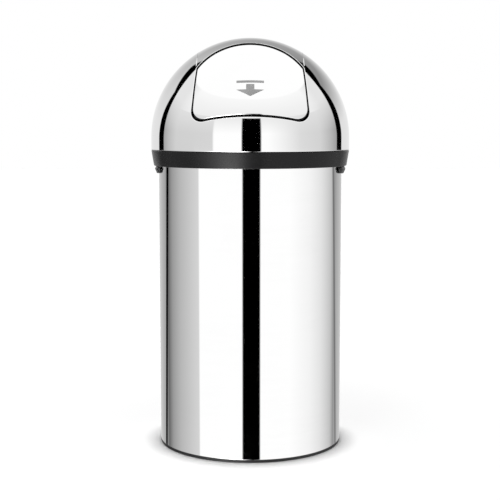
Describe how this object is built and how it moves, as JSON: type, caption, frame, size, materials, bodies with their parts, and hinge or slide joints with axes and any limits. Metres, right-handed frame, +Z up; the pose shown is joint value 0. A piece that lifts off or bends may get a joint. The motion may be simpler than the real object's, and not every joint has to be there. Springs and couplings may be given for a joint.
{
  "type": "push flap waste bin",
  "caption": "Round polished steel waste bin with a dome lid, a sprung push flap, side grips and a lift-out inner bucket with a bail.",
  "frame": {"origin": "centre of the base ring's footprint, on the floor", "axes": "+Z up along the bin's axis, -Y the front with the push flap, +X the bin's side with the right-hand grip as seen from the front"},
  "size_m": [0.3568, 0.3568, 0.7329],
  "materials": {
    "polished_steel": "mirror-polished stainless steel",
    "ring_plastic": "satin anthracite plastic",
    "black_plastic": "matt black plastic",
    "galvanised": "galvanised sheet steel",
    "zinc_wire": "bright zinc-plated steel",
    "rubber": "matt rubber",
    "natural_plastic": "natural acetal",
    "mark_ink": "matt grey print"
  },
  "bodies": {
    "bin": {"body_shell": "polished_steel", "body_floor": "galvanised", "base_ring": "black_plastic", "top_collar": "black_plastic", "grip_left": "black_plastic", "grip_right": "black_plastic", "grip_rivets": "zinc_wire"},
    "bucket": {"bucket_wall": "galvanised", "bucket_base": "galvanised", "bail_ears": "zinc_wire", "ear_rivets": "zinc_wire"},
    "bail": {"bail_wire": "zinc_wire", "bail_grip": "black_plastic"},
    "lid": {"lid_ring": "ring_plastic", "dome_shell": "polished_steel", "ring_screws": "zinc_wire", "hinge_bracket_left": "zinc_wire", "hinge_bracket_right": "zinc_wire", "hinge_axle": "zinc_wire", "axle_clips": "zinc_wire", "return_springs": "zinc_wire", "stop_pads": "rubber"},
    "flap": {"flap_panel": "polished_steel", "flap_carrier": "black_plastic", "hinge_bushes": "natural_plastic", "push_mark": "mark_ink"}
  },
  "joints": [
    {"name": "bucket_lift", "type": "slide", "parent": "bin", "child": "bucket", "axis": [0, 0, 1], "range_m": [0, 0.52]},
    {"name": "lid_lift", "type": "slide", "parent": "bucket", "child": "lid", "axis": [0, 0, 1], "range_m": [0, 0.3]},
    {"name": "flap_push", "type": "hinge", "parent": "lid", "child": "flap", "pos_m": [0, -0.05373, 0.70255], "axis": [1, 0, 0], "range_deg": [0, 62], "stiffness_Nm_per_rad": 0.35, "springref_deg": -57.3},
    {"name": "bail_swing", "type": "hinge", "parent": "bucket", "child": "bail", "pos_m": [0, 0, 0.5116], "axis": [1, 0, 0], "range_deg": [0, 180]}
  ]
}
